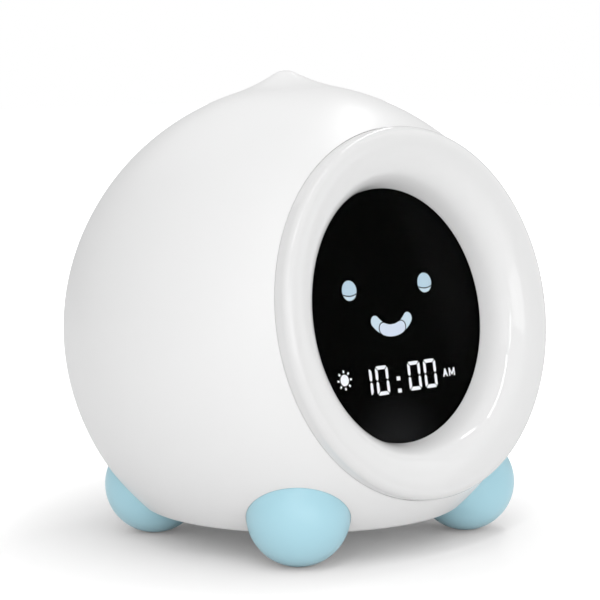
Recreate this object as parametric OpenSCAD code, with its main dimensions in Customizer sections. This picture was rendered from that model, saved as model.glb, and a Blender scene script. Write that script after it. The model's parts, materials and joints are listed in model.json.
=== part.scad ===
// Kids alarm clock with night light: a leaning ball with a small peak, a dished
// round face in a glossy ring, and four ball feet.
// Millimetres, +Z up, the face looks along -Y, the floor is Z = 0.

/* [Body] */
// Radius of the ball that forms the body
body_r = 70.2; // [66:0.2:76]
// Wall of the moulded body shell
body_wall = 2.2; // [1.6:0.1:3]
// Height of the ball's centre above the floor
body_z = 60.6; // [59:0.2:63]
// Distance of the ball's centre in front of the origin
body_front = 3.85; // [0:0.05:12]
// Backward lean of the body's axis, in degrees
body_lean = 5.4; // [0:0.2:8]
// Latitude at which the fuller crown of the body starts
crown_latitude = 26; // [24:1:35]
// Radius of the fuller arc from there to the peak
crown_r = 74.3; // [71:0.1:78]
// Height of the peak above the ball's centre, along the leaning axis
peak_height = 75.9; // [74:0.1:80]
// Radius of the rounded peak
peak_r = 6.5; // [4:0.5:9]
// Radius of the hollow flare between crown and peak
flare_r = 50; // [30:1:70]

/* [Underside] */
// Height of the flat underside above the floor
base_z = 8.3; // [7:0.1:9.5]
// Radius of the rounded edge round the underside
base_fillet = 4; // [2:0.5:6]
// Thickness of the base plate
base_t = 3.2; // [2.8:0.1:4]
// Gap round the base plate
base_gap = 0.25; // [0.15:0.05:0.5]
// Distance of the base screws from the edge of the base plate
base_screw_inset = 3.8; // [3.4:0.1:5]
// Half the side spacing of the base screws
base_screw_x = 13.5; // [13:0.1:14.5]
// Height of the shell's screw posts above the base plate
post_h = 11; // [8:0.5:14]

/* [Feet] */
// Radius of a ball foot
foot_r = 14.6; // [13.6:0.1:15.2]
// Radius of the flat that a foot stands on
foot_flat_r = 2.4; // [1.5:0.1:4]
// Half the side spacing of the feet
foot_x = 34.4; // [33.5:0.1:36]
// Half the front-to-back spacing of the feet
foot_y = 30.95; // [30:0.05:32]
// Distance of the middle of the four feet in front of the origin
feet_front = 7.6; // [5:0.1:12]
// Wall of the cups that the feet sit in
cup_wall = 2; // [1.5:0.1:2.4]
// Height of the boss on top of each cup
cup_boss_h = 2; // [1:0.1:3]

/* [Face] */
// Upward tilt of the face, in degrees
face_tilt = 10.15; // [0:0.5:14]
// Outer radius of the glossy face ring
ring_r = 52.75; // [52:0.05:54]
// Height of the ring's crown above its outer seam
ring_rise = 5; // [4:0.1:6.5]
// Radius of the ring's rounded outer edge
ring_edge_r = 2.5; // [1.5:0.1:3.5]
// Wall of the ring's inner slope
ring_wall = 2.2; // [1.8:0.1:2.6]
// Radius of the black screen
screen_r = 36.4; // [34:0.1:37.5]
// Depth of the screen below the ring's crown
screen_drop = 13; // [11.5:0.1:14]
// Depth of the step in the shell that the ring sits in
seat_depth = 0.3; // [0.2:0.05:0.6]
// How far the ring overlaps the edge of the opening behind it
ring_overlap = 1.75; // [1.4:0.05:2.2]
// Thickness of the front lens
lens_t = 0.8; // [0.6:0.1:2]
// Thickness of the light mask behind the lens
mask_t = 3; // [2.5:0.1:4]
// Thickness of the lit windows in the mask
window_t = 1.2; // [0.8:0.1:2]

/* [Display figures] */
// Diameter of the two eye dots
eye_d = 5.7; // [4:0.1:7]
// Half the distance between the eye dots
eye_x = 15.35; // [12:0.05:18]
// Height of the eye dots above the middle of the screen
eye_y = 8.35; // [5:0.05:12]
// Radius of the smile's centre line
smile_r = 8.75; // [6:0.25:10]
// Width of the smile's line
smile_w = 3.4; // [2:0.1:4]
// Height of the centre of the smile's arc above the middle of the screen
smile_y = 4.55; // [3:0.05:6]
// Sweep of the smile between the centres of its round ends, in degrees
smile_sweep = 98; // [80:2:120]
// Sweep of the smile's middle field
middle_sweep = 49; // [30:1:60]
// Width of the dark line between two lit fields
field_line = 0.2; // [0.1:0.05:0.3]
// Radius of the curved line across an eye
lid_r = 6.5; // [4:0.5:10]
// How far that line lies below the middle of the eye
lid_drop = 1.6; // [1:0.1:2.2]
// Height of a clock figure
figure_h = 8.3; // [6:0.1:10]
// Width of a clock figure
figure_w = 5.1; // [4:0.1:5.6]
// Width of a segment of a clock figure
segment_w = 1; // [0.8:0.05:1.4]
// Height of the row of figures below the middle of the screen
figures_y = -17.9; // [-20:0.1:-15]
// Radius of the sun sign with its rays
sun_r = 2.8; // [2:0.1:3.5]
// Height of the morning sign's letters
letter_h = 2.3; // [1.8:0.1:3]

/* [Rear panel] */
// Radius of the opening at the back of the shell
rear_r = 27; // [26:0.5:28]
// Depth of the rear panel below the rim of its opening
rear_recess = 1.6; // [1.3:0.1:2.5]
// Thickness of the rear panel
rear_t = 2.1; // [1.6:0.1:2.5]
// Radius of the large night-light button
light_button_r = 7; // [6:0.1:7.5]
// Radius of a small button
button_r = 4.8; // [4:0.1:5]
// Radius of the circle that the small buttons lie on
button_circle_r = 17; // [16.5:0.1:17.5]
// Height of a button above the rear panel
button_proud = 1.2; // [1.1:0.1:1.3]
// Travel of a button
button_travel = 1; // [0.6:0.1:1]
// Radial clearance of a button in its hole
button_gap = 0.25; // [0.2:0.05:0.3]

/* [Batteries] */
// Diameter of an AAA cell
cell_d = 10.5; // [10.2:0.1:10.5]
// Length of an AAA cell
cell_l = 44.5; // [44:0.1:44.5]
// Thickness of the battery door
door_t = 2; // [1.6:0.1:2.2]
// Gap round the battery door
door_gap = 0.3; // [0.2:0.05:0.5]

/* [Speaker] */
// Radius of the speaker
speaker_r = 14; // [12:0.5:14.5]
// Distance of the speaker's axis behind the ball's centre
speaker_back = 23.6; // [22:0.1:24]
// Radius of a sound hole
sound_hole_r = 0.9; // [0.6:0.1:1.2]

/* [Fits] */
// Gap between a foot and its cup
foot_gap = 0.1; // [0.05:0.05:0.3]
// Gap between parts that are fixed to each other
seat_gap = 0.1; // [0.05:0.05:0.2]
// Thickness of a circuit board
board_t = 1.6; // [1:0.1:2]
// Gap round a screw's shank in the hole that it is screwed into
thread_gap = 0.05; // [0.02:0.01:0.1]
// Gap round a screw's shank in a hole that it only passes through
pass_gap = 0.2; // [0.1:0.05:0.4]
// Shank radius of the screws
screw_r = 1.25; // [1:0.05:1.4]
// Head radius of the screws
screw_head_r = 2.3; // [2:0.1:2.5]

/* [Hidden] */

shell_white = "#f3f3f1";
foot_blue = "#a9d8e6";
board_green = "#2f6b45";
arc_step = 5;
tiny = 0.01;
// How far an arc's end runs past the ball's surface, so that the two cross
root_depth = 0.4;
far = 3 * body_r;
$fn = 96;

// ---------- frames and helpers ----------

ball_centre = [0, -body_front, body_z];
foot_z = sqrt(pow(foot_r, 2) - pow(foot_flat_r, 2));
foot_places = [for (side = [-1, 1], row = [-1, 1]) [side * foot_x, row * foot_y - feet_front, foot_z]];
plate_top = base_z + base_t;

module at_body() translate(ball_centre) rotate([-body_lean, 0, 0]) children();
module at_face() translate(ball_centre) rotate([90 - face_tilt, 0, 0]) children();
module at_rear() translate(ball_centre) rotate([-90 - body_lean, 0, 0]) rotate([0, 0, 180]) children();
module at_feet() for (place = foot_places) translate(place) children();
module each_angle(angles, r) for (angle = angles) rotate([0, 0, angle]) translate([r, 0, 0]) children();

// A ring or tube with its lower face at z = 0
module tube(outer, inner, h) difference() {
    cylinder(r = outer, h = h);
    translate([0, 0, -1]) cylinder(r = inner, h = h + 2);
}

// A block centred in x and y, with its lower face at z = 0
module block(size) translate([-size.x / 2, -size.y / 2, 0]) cube(size);

// A pan-head screw along +Z: its head starts at z = -head_h, its shank ends at z = length
module screw(length, head_h = 1.6) {
    translate([0, 0, -head_h]) cylinder(r = screw_head_r, h = head_h);
    translate([0, 0, -tiny]) cylinder(r = screw_r, h = length + tiny);
}

function polar(r, angle) = r * [cos(angle), sin(angle)];
function heading(v) = atan2(v.y, v.x);
function arc(centre, r, from, to) =
    let (steps = max(2, ceil(abs(to - from) / arc_step)))
    [for (i = [0:steps]) centre + polar(r, from + (to - from) * i / steps)];
function tail(points) = [for (i = [1:len(points) - 1]) points[i]];
function bezier(a, b, c, d, steps = 12) =
    [for (i = [0:steps]) let (t = i / steps, s = 1 - t)
        s * s * s * a + 3 * s * s * t * b + 3 * s * t * t * c + t * t * t * d];

// ---------- body outline: ball, fuller crown, hollow flare, rounded peak ----------

crown_centre = polar(body_r - crown_r, crown_latitude);
peak_centre = [0, peak_height - peak_r];
flare_reach = norm(peak_centre - crown_centre);
flare_along = (pow(flare_reach, 2) + pow(crown_r + flare_r, 2) - pow(peak_r + flare_r, 2)) / (2 * flare_reach);
flare_aside = sqrt(pow(crown_r + flare_r, 2) - pow(flare_along, 2));
flare_axis = (peak_centre - crown_centre) / flare_reach;
flare_centre = crown_centre + flare_along * flare_axis + flare_aside * [flare_axis.y, -flare_axis.x];

// The crown's outline starts inside the ball and comes out through its surface
function crown_outline(inset) = concat(
    [[0, crown_root.y], crown_root - [inset, 0]],
    tail(arc(crown_centre, crown_r - inset, crown_latitude, heading(flare_centre - crown_centre))),
    arc(flare_centre, flare_r + inset,
        heading(crown_centre - flare_centre), heading(peak_centre - flare_centre)),
    arc(peak_centre, peak_r - inset, heading(flare_centre - peak_centre), 90));
crown_root = polar(body_r - root_depth, crown_latitude - arc_step);

// The ball with its crown and peak, drawn in by a wall
module body_solid(inset) at_body() {
    sphere(r = body_r - inset);
    rotate_extrude() polygon(crown_outline(inset));
}

// What is cut away to leave the flat underside and its rounded edge
fillet_centre = [sqrt(pow(body_r - base_fillet, 2) - pow(body_z - base_z - base_fillet, 2)),
    base_z + base_fillet];
fillet_end = heading(fillet_centre - [0, body_z]);
module below_underside() translate([0, -body_front, 0]) rotate_extrude() polygon(concat(
    [[0, base_z]],
    arc(fillet_centre, base_fillet, -90, fillet_end - 2 * arc_step),
    [[0, body_z] + polar(body_r + 2.5 * root_depth, fillet_end + 4), [far, 0], [far, -far], [0, -far]]));

// ---------- sizes shared by the face and the shell ----------

function ball_level(r, radius = body_r) = sqrt(radius * radius - r * r);
opening_r = ring_r - ring_overlap;
seat_inner_r = opening_r - 1;
seat_slope = (ball_level(seat_inner_r) - ball_level(ring_r)) / (ring_r - seat_inner_r);
function seat_level(r) = ball_level(ring_r) - seat_depth + seat_slope * (ring_r - r);
crown_level = ball_level(ring_r) + ring_rise;
screen_level = crown_level - screen_drop;
lip_h = 0.5;
lens_margin = 2;
lens_r = screen_r + lens_margin;
lens_back = screen_level - lens_t;
mask_front = lens_back - seat_gap;
mask_back = mask_front - mask_t;
display_board_back = mask_back - board_t;
collar_r = opening_r - 0.4;
collar_wall = 1.8;
collar_end = ball_level(collar_r, body_r - body_wall) - 3;
pocket_wall = 1.8;
pocket_r = lens_r + 2 * seat_gap;
pocket_end = lens_back - 0.8;
boss_angles = [0, 90, 180, 270];
lug_t = 2;
lug_w = 4.4;
boss_r = 2.5;
boss_circle_r = (pocket_r + pocket_wall + collar_r - collar_wall) / 2 + 0.8;
boss_end = mask_back + 0.7;

// ---------- sizes shared by the rear panel and the shell ----------

rim_level = ball_level(rear_r);
rear_level = rim_level - rear_recess;
rear_seat = rear_level - rear_t;
ledge_t = 1.9;
panel_gap = 0.15;
ledge_r = rear_r - 2.5;
button_angles = [90, 30, 150, 330, 210];
usb_y = -button_circle_r;
flange_h = 1.1;
flange_w = 1.2;
flange_back = rear_seat - seat_gap - flange_h;
stem_back = flange_back - 2.4;
switch_h = 3.5;
stop_gap = 0.1;
stem_r = 2;
key_board_top = stem_back - button_travel - stop_gap - switch_h;
key_board_r = ledge_r - 2;
key_boss_angles = [60, 180, 300];
key_boss_circle_r = 20;

// ---------- sizes shared by the base plate, the cells and the speaker ----------

cells_y = -feet_front;
cell_pitch = cell_d + 0.8;
contact_l = 3.3;
bay_l = cell_l + 2 * contact_l;
bay_w = 2 * cell_pitch;
bay_floor = base_z + door_t + 0.3;
cell_axis_z = bay_floor + cell_d / 2;
bay_top = cell_axis_z + cell_d / 2 + 0.3;
tub_wall = 1.6;
door_screw_x = bay_l / 2 + tub_wall + 4;
door_post_r = 3;
door_head_h = 1.1;
head_recess = 1.7;
door_size = [2 * door_screw_x + 7, bay_w + 2.4];
speaker_y = -body_front + speaker_back;
speaker_wall = 1.4;
speaker_gap = 0.2;
speaker_seat_h = 2.6;
board_lift = 3;
board_z = bay_top + tub_wall + board_lift;
main_board_size = [46, 38];
hole_inset = 3;
board_posts = [for (side = [-1, 1], row = [-1, 1])
    [side * (main_board_size.x / 2 - hole_inset), cells_y + row * (main_board_size.y / 2 - hole_inset)]];
base_plate_r = ball_level(body_z - base_z, body_r - body_wall) - base_gap;
base_screw_y = sqrt(pow(base_plate_r - base_screw_inset, 2) - pow(base_screw_x, 2));

module at_door_screws() for (side = [-1, 1]) translate([side * door_screw_x, cells_y, base_z]) children();
module at_base_screws() for (side = [-1, 1], row = [-1, 1])
    translate([side * base_screw_x, -body_front + row * base_screw_y, 0]) children();

// ---------- body shell ----------

module body_shell() color(shell_white) difference() {
    body_solid(0);
    shell_cavity();
    below_underside();
    at_feet() sphere(r = foot_r + foot_gap);
    at_feet() cylinder(r = screw_r + pass_gap, h = foot_r + cup_wall + cup_boss_h + 1);
    at_face() translate([0, 0, collar_end]) cylinder(r = opening_r, h = body_r);
    at_face() rotate_extrude() polygon([
        [seat_inner_r, seat_level(seat_inner_r)], [ring_r + seat_gap, seat_level(ring_r + seat_gap)],
        [ring_r + seat_gap, body_r], [seat_inner_r, body_r]]);
    at_rear() translate([0, 0, rear_seat]) cylinder(r = rear_r, h = body_r);
    at_rear() translate([0, 0, rear_seat - 3 * ledge_t]) cylinder(r = ledge_r, h = body_r);
    at_base_screws() translate([0, 0, base_z]) cylinder(r = screw_r + thread_gap, h = base_t + post_h - 1.5);
}

// The hollow inside the shell; what it leaves standing are cups, screw posts and the rear ledge
module shell_cavity() difference() {
    body_solid(body_wall);
    at_feet() sphere(r = foot_r + foot_gap + cup_wall);
    at_feet() cylinder(r = screw_head_r + 0.9, h = foot_r + cup_wall + cup_boss_h);
    at_base_screws() translate([0, 0, plate_top]) cylinder(r = 3, h = post_h);
    for (side = [-1, 1], row = [-1, 1])
        translate([side * base_screw_x, -body_front + row * base_screw_y, plate_top])
            rotate([0, 0, heading([side * base_screw_x, row * base_screw_y])])
                translate([0, -0.9, 0]) cube([body_r / 3, 1.8, post_h]);
    at_rear() translate([0, 0, rear_seat - ledge_t]) cylinder(r = rear_r + 5, h = ledge_t);
}

// ---------- face: ring, lens and display ----------

ring_outline = concat(
    [[ring_r, seat_level(ring_r) + seat_gap]],
    arc([ring_r - ring_edge_r, crown_level - ring_edge_r], ring_edge_r, 0, 90),
    bezier([ring_r - ring_edge_r, crown_level], [screen_r + 3.8, crown_level],
        [screen_r + 1.25, screen_level + lip_h + 5.9], [screen_r, screen_level + lip_h], 14),
    [[screen_r, screen_level], [pocket_r, screen_level], [pocket_r, pocket_end],
     [pocket_r + pocket_wall, pocket_end]],
    bezier([pocket_r + pocket_wall, screen_level + 3.7], [lens_r + 3, screen_level + 7.7],
        [lens_r + 5.1, crown_level - ring_wall], [collar_r - collar_wall, crown_level - ring_wall], 8),
    [[collar_r - collar_wall, collar_end], [collar_r, collar_end],
     [collar_r, seat_level(collar_r) + seat_gap]]);

hook_lip = 0.9;
hook_outline = [
    [collar_r - 0.5, collar_end], [collar_r + 0.1, collar_end],
    [collar_r + hook_lip, ball_level(collar_r + hook_lip, body_r - body_wall) - 0.9],
    [collar_r + hook_lip, ball_level(collar_r + hook_lip, body_r - body_wall) - 0.4],
    [collar_r, ball_level(collar_r, body_r - body_wall) - 0.4],
    [collar_r - 0.5, ball_level(collar_r, body_r - body_wall) - 0.4]];

module front_bezel() color("#fbfbfa") at_face() difference() {
    union() {
        rotate_extrude() polygon(ring_outline);
        each_angle(boss_angles, boss_circle_r) translate([0, 0, boss_end])
            cylinder(r = boss_r, h = crown_level - 2 - boss_end);
        for (i = [0:5]) rotate([0, 0, 60 * i + 26]) rotate_extrude(angle = 8) polygon(hook_outline);
    }
    each_angle(boss_angles, boss_circle_r) translate([0, 0, boss_end - 1])
        cylinder(r = screw_r + thread_gap, h = 9);
}

module display_lens() color("#0b0b0c") at_face()
    translate([0, 0, lens_back]) cylinder(r = lens_r, h = lens_t);

// The middle bar of a figure, pointed at both ends
module bar(l, w, h) linear_extrude(height = h) polygon([
    [-l / 2, 0], [-l / 2 + w / 2, w / 2], [l / 2 - w / 2, w / 2],
    [l / 2, 0], [l / 2 - w / 2, -w / 2], [-l / 2 + w / 2, -w / 2]]);

// The upper left quarter of a figure's rim is an upright, mitred to half of the top bar at a bevelled corner
segment_gap = 0.22;
corner = 0.7;
module upright(x, y, w, gap, h) linear_extrude(height = h) polygon([
    [-x + w, y - w - gap], [-x + corner / 2, y - corner / 2 - gap], [-x, y - corner],
    [-x, gap / 2 + w / 2], [-x + w / 2, gap / 2], [-x + w, gap / 2 + w / 2]]);
module top_bar(x, y, w, gap, h) linear_extrude(height = h) polygon([
    [-x + w + gap, y - w], [x - w - gap, y - w], [x - corner / 2 - gap, y - corner / 2],
    [x - corner, y], [corner - x, y], [-x + corner / 2 + gap, y - corner / 2]]);

// A zero has all the segments of its rim, a one only its left pair
module figure(is_zero, grow, h) {
    x = (figure_w + grow) / 2;
    y = (figure_h + grow) / 2;
    w = segment_w + grow;
    gap = segment_gap - grow;
    for (flip = [0, 1]) mirror([0, flip, 0]) {
        upright(x, y, w, gap, h);
        if (is_zero) mirror([1, 0, 0]) upright(x, y, w, gap, h);
        if (is_zero) top_bar(x, y, w, gap, h);
    }
}

figure_pitch = 6.6;
one_x = -9.05;
hours_x = -6.55;
minutes_x = 6.6;
figure_columns = [one_x, hours_x, minutes_x, minutes_x + figure_pitch];
colon_x = -0.1;
colon_rows = [figures_y - 0.1, figures_y - 3.6];
sun = [-21.4, figures_y + 1.55];
letters_x = 18.5;
letters_y = figures_y - 1.45;
letter_line = 0.45;
sign_w = 4.95;

// A straight stroke of a letter between two points
module stroke(a, b, grow, h) translate([(a.x + b.x) / 2, (a.y + b.y) / 2, 0]) rotate([0, 0, heading(b - a)])
    block([norm(b - a) + letter_line / 2 + grow, letter_line + grow, h]);
module letter(points, grow, h) for (i = [1:len(points) - 1]) stroke(points[i - 1], points[i], grow, h);
module morning_sign(grow, h) translate([letters_x, letters_y, 0]) {
    top = letter_h - letter_line / 2;
    bar_y = 0.3 * letter_h;
    letter([[0.2, 0], [0.95, top], [1.7, 0]], grow, h);
    stroke([0.5, bar_y], [1.4, bar_y], grow, h);
    // the grown sign is a hole, with no loose island inside the A
    if (grow > 0) linear_extrude(height = h) polygon([[0.5, bar_y], [1.4, bar_y], [0.95, top]]);
    letter([[2.75, 0], [2.75, top], [3.75, 0.4], [4.75, top], [4.75, 0]], grow, h);
}

module lit_clock(grow, h) {
    for (i = [0:3]) translate([figure_columns[i], figures_y, 0]) figure(i > 0, grow, h);
    for (y = colon_rows) translate([colon_x, y, 0]) block([1.4 + grow, 1.1 + grow, h]);
    translate([sun.x, sun.y, 0]) {
        cylinder(r = 0.57 * sun_r + grow / 2, h = h);
        for (i = [0:7]) rotate([0, 0, 45 * i + 2]) translate([0.87 * sun_r, 0, 0])
            block([0.26 * sun_r + grow, 0.55 + grow, h]);
    }
    morning_sign(grow, h);
}

module unlit_clock(grow, h) for (i = [1:3])
    translate([figure_columns[i], figures_y, 0])
        bar(figure_w - segment_w - segment_gap + grow, segment_w + grow, h);

module eyes(grow, h) for (side = [-1, 1])
    translate([side * eye_x, eye_y, 0]) cylinder(r = (eye_d + grow) / 2, h = h);

// An arc with round ends
module smile(sweep, grow, h) translate([0, smile_y, 0]) {
    rotate([0, 0, 270 - sweep / 2]) rotate_extrude(angle = sweep)
        translate([smile_r - (smile_w + grow) / 2, 0]) square([smile_w + grow, h]);
    for (side = [-1, 1]) rotate([0, 0, 270 + side * sweep / 2]) translate([smile_r, 0, 0])
        cylinder(r = (smile_w + grow) / 2, h = h);
}

// All that lies above the curved line across each eye
module above_lid(grow, h) for (side = [-1, 1])
    translate([side * eye_x, eye_y - lid_drop + lid_r, 0]) cylinder(r = lid_r + grow, h = h);

module at_windows() at_face() translate([0, 0, mask_front - window_t]) children();
window_gap = 0.1;

module eye_windows() color("#b0ccda") at_windows() intersection() {
    eyes(0, window_t);
    above_lid(-field_line / 2, window_t);
}
module lid_windows() color("#c8dee8") at_windows() difference() {
    eyes(0, window_t);
    translate([0, 0, -1]) above_lid(field_line / 2, window_t + 2);
}
module smile_window() color("#d8e2f0") at_windows() smile(middle_sweep, 0, window_t);
module smile_end_windows() color("#cfe4ec") at_windows() difference() {
    smile(smile_sweep, 0, window_t);
    translate([0, 0, -1]) smile(middle_sweep, 2 * field_line, window_t + 2);
}
module clock_windows() color("white") at_windows() lit_clock(0, window_t);
module unlit_windows() color("#55585c") at_windows() unlit_clock(0, window_t);

module display_mask() color("#151515") at_face() translate([0, 0, mask_back]) difference() {
    cylinder(r = lens_r, h = mask_t);
    translate([0, 0, -1]) {
        eyes(window_gap, mask_t + 2);
        smile(smile_sweep, window_gap, mask_t + 2);
        lit_clock(window_gap, mask_t + 2);
        unlit_clock(window_gap, mask_t + 2);
        // one light chamber behind both letters
        translate([letters_x + sign_w / 2, letters_y + letter_h / 2, 0])
            block([sign_w + 2 * letter_line, letter_h + 2 * letter_line, 1 + mask_t - window_t]);
    }
}

display_plug_y = 0.6 * lens_r;
module display_board() color(board_green) at_face() {
    translate([0, 0, display_board_back]) cylinder(r = lens_r, h = board_t);
    translate([0, -display_plug_y, display_board_back - plug_h]) block([plug_l, plug_w, plug_h + tiny]);
}

// Light-emitting chips, one or two below each window
led_h = 0.8;
module display_leds() color("#f5efc8") at_face() translate([0, 0, mask_back]) {
    for (side = [-1, 1]) translate([side * eye_x, eye_y, 0]) block([1.6, 1.2, led_h]);
    for (i = [-1:1]) translate([0, smile_y, 0]) rotate([0, 0, 270 + 35 * i])
        translate([smile_r, 0, 0]) block([1.2, 1.6, led_h]);
    translate([sun.x, sun.y, 0]) block([0.7, 1.4, led_h]);
    for (x = [0.95, 3.75]) translate([letters_x + x, letters_y + letter_h / 2, 0]) block([0.7, 1.4, led_h]);
    for (i = [0:3], side = i == 0 ? [-1] : [-1, 1])
        translate([figure_columns[i] + side * (figure_w - segment_w) / 2, figures_y + figure_h / 4, 0])
            block([0.7, 1.4, led_h]);
}

frame_floor = 1.5;
frame_wall_r = pocket_r + pocket_wall;
module display_frame() color("#1d1d1f") at_face() difference() {
    union() {
        translate([0, 0, display_board_back - frame_floor]) tube(frame_wall_r, lens_r - 7, frame_floor);
        translate([0, 0, display_board_back])
            tube(frame_wall_r, pocket_r, pocket_end - seat_gap - display_board_back);
        each_angle(boss_angles, boss_circle_r) translate([0, 0, boss_end - lug_t])
            cylinder(r = boss_r + 0.5, h = lug_t);
        for (angle = boss_angles) rotate([0, 0, angle])
            translate([frame_wall_r - pocket_wall / 2, -lug_w / 2, boss_end - lug_t])
                cube([boss_circle_r - frame_wall_r + pocket_wall / 2, lug_w, lug_t]);
    }
    each_angle(boss_angles, boss_circle_r) translate([0, 0, boss_end - lug_t - 1])
        cylinder(r = screw_r + pass_gap, h = lug_t + 2);
}

module display_screws() color("silver") at_face()
    each_angle(boss_angles, boss_circle_r) translate([0, 0, boss_end - lug_t]) screw(lug_t + 6);

// ---------- underside: base plate, feet, batteries, speaker ----------

module base_plate() color("#ececea") difference() {
    union() {
        translate([0, -body_front, base_z]) cylinder(r = base_plate_r, h = base_t);
        translate([0, cells_y, base_z])
            block([bay_l + 2 * tub_wall, bay_w + 2 * tub_wall, bay_top + tub_wall - base_z]);
        at_door_screws() cylinder(r = door_post_r, h = base_t + 7);
        translate([0, speaker_y, base_z])
            cylinder(r = speaker_r + speaker_gap + speaker_wall, h = base_t + speaker_seat_h);
        for (post = board_posts) translate([post.x, post.y, base_z]) cylinder(r = 2.5, h = board_z - base_z);
    }
    at_feet() sphere(r = foot_r + foot_gap + cup_wall + 0.25);
    translate([0, cells_y, base_z - 1])
        block([door_size.x + 2 * door_gap, door_size.y + 2 * door_gap, 1 + door_t + 0.1]);
    translate([0, cells_y, base_z]) block([bay_l, bay_w, bay_top - base_z]);
    for (lane = [-1, 1])
        translate([-bay_l / 2 + contact_plate_t / 2, cells_y + lane * cell_pitch / 2, contact_top])
            cylinder(r = lead_r + pass_gap, h = bay_top + tub_wall + 1 - contact_top);
    at_door_screws() cylinder(r = screw_r + thread_gap, h = base_t + 5.5);
    at_base_screws() translate([0, 0, base_z - 1]) cylinder(r = screw_r + pass_gap, h = base_t + 2);
    at_base_screws() translate([0, 0, base_z - 1]) cylinder(r = screw_head_r + pass_gap, h = 1 + head_recess);
    translate([0, speaker_y, plate_top]) cylinder(r = speaker_r + speaker_gap, h = base_t + speaker_seat_h);
    translate([0, speaker_y, base_z - 1]) sound_holes(base_t + 2);
    for (post = board_posts) translate([post.x, post.y, board_z - 7]) cylinder(r = screw_r + thread_gap, h = 8);
}

// One hole in the middle and two rings of holes round it
sound_hole_pitch = 4;
module sound_holes(h) for (ring = [0:2], i = [0:max(0, 6 * ring - 1)])
    rotate([0, 0, 60 * i / max(1, ring)]) translate([sound_hole_pitch * ring, 0, 0])
        cylinder(r = sound_hole_r, h = h, $fn = 32);

module base_screws() color("silver") at_base_screws() translate([0, 0, base_z + head_recess]) screw(post_h - 2);

module foot(place) color(foot_blue) difference() {
    translate(place) sphere(r = foot_r);
    translate([place.x, place.y, -foot_r]) block([2 * foot_r, 2 * foot_r, foot_r]);
    translate(place) translate([0, 0, foot_r - 9]) cylinder(r = screw_r + thread_gap, h = 10);
}
module foot_front_left() foot(foot_places[0]);
module foot_rear_left() foot(foot_places[1]);
module foot_front_right() foot(foot_places[2]);
module foot_rear_right() foot(foot_places[3]);

// Each foot's screw comes down from the boss on top of its cup
module foot_screws() color("silver") at_feet()
    translate([0, 0, foot_r + cup_wall + cup_boss_h]) mirror([0, 0, 1]) screw(cup_wall + cup_boss_h + 7);

module battery_door() color("#e9e9e7") difference() {
    translate([0, cells_y, base_z]) block([door_size.x, door_size.y, door_t]);
    at_door_screws() translate([0, 0, -1]) {
        cylinder(r = screw_r + pass_gap, h = door_t + 2);
        cylinder(r = screw_head_r + pass_gap, h = 1 + door_head_h + seat_gap);
    }
    // finger notch in the rear edge
    translate([0, cells_y + door_size.y / 2 + 3, base_z - 1]) cylinder(r = 5, h = 1 + 1);
}

module battery_door_screws() color("silver") at_door_screws()
    translate([0, 0, door_head_h + seat_gap]) screw(6.5, door_head_h);

module cell() rotate([0, 90, 0]) {
    cylinder(r = cell_d / 2, h = cell_l - 1, center = true);
    translate([0, 0, cell_l / 2 - 0.5 - tiny]) cylinder(r = 1.9, h = 0.8);
}
module battery_cells() color("#3a4a6b") for (side = [-1, 1])
    translate([0, cells_y + side * cell_pitch / 2, cell_axis_z]) rotate([0, 0, 90 - side * 90]) cell();

// A round wire swept along a path, with flat ends
function unit(v) = v / norm(v);
function tangent_at(path, i) = unit(path[min(i + 1, len(path) - 1)] - path[max(i - 1, 0)]);
module wire(path, r, aside, sides = 8) {
    points = [for (i = [0:len(path) - 1])
        let (t = tangent_at(path, i), n = unit(cross(t, aside)), b = cross(t, n))
        for (k = [0:sides - 1]) path[i] + r * (cos(360 * k / sides) * n + sin(360 * k / sides) * b)];
    rings = len(path);
    faces = concat([[for (k = [0:sides - 1]) k]],
        [for (i = [0:rings - 2], k = [0:sides - 1])
            [i * sides + k, (i + 1) * sides + k,
             (i + 1) * sides + (k + 1) % sides, i * sides + (k + 1) % sides]],
        [[for (k = [sides - 1:-1:0]) (rings - 1) * sides + k]]);
    polyhedron(points, faces, convexity = 10);
}

// Plates at both ends of the bay, with a coil spring on each minus side
spring_turns = 3;
contact_plate_t = 0.4;
contact_half = 4;
contact_gap = 0.35;
contact_top = cell_axis_z + contact_half;
module battery_contacts() color("#c9cbc6") for (side = [-1, 1], lane = [-1, 1])
    translate([0, cells_y + lane * cell_pitch / 2, cell_axis_z]) rotate([0, 0, 90 - side * 90]) {
        translate([bay_l / 2 - contact_plate_t, -contact_half, -contact_half])
            cube([contact_plate_t, 2 * contact_half, 2 * contact_half]);
        if (side == lane) translate([cell_l / 2 + contact_gap, 0, 0]) rotate([0, 90, 0])
            cylinder(r = 2.2, h = bay_l / 2 - contact_plate_t - cell_l / 2 - contact_gap + tiny);
        else coil_spring();
    }
module coil_spring() {
    from = cell_l / 2 - 0.5 + contact_gap;
    to = bay_l / 2 - contact_plate_t + 0.1;
    wire([for (i = [0:12 * spring_turns]) let (s = i / (12 * spring_turns), a = 30 * i)
        [from + (to - from) * s, (2.6 + s) * cos(a), (2.6 + s) * sin(a)]], 0.32, [1, 0, 0], 6);
}

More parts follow.
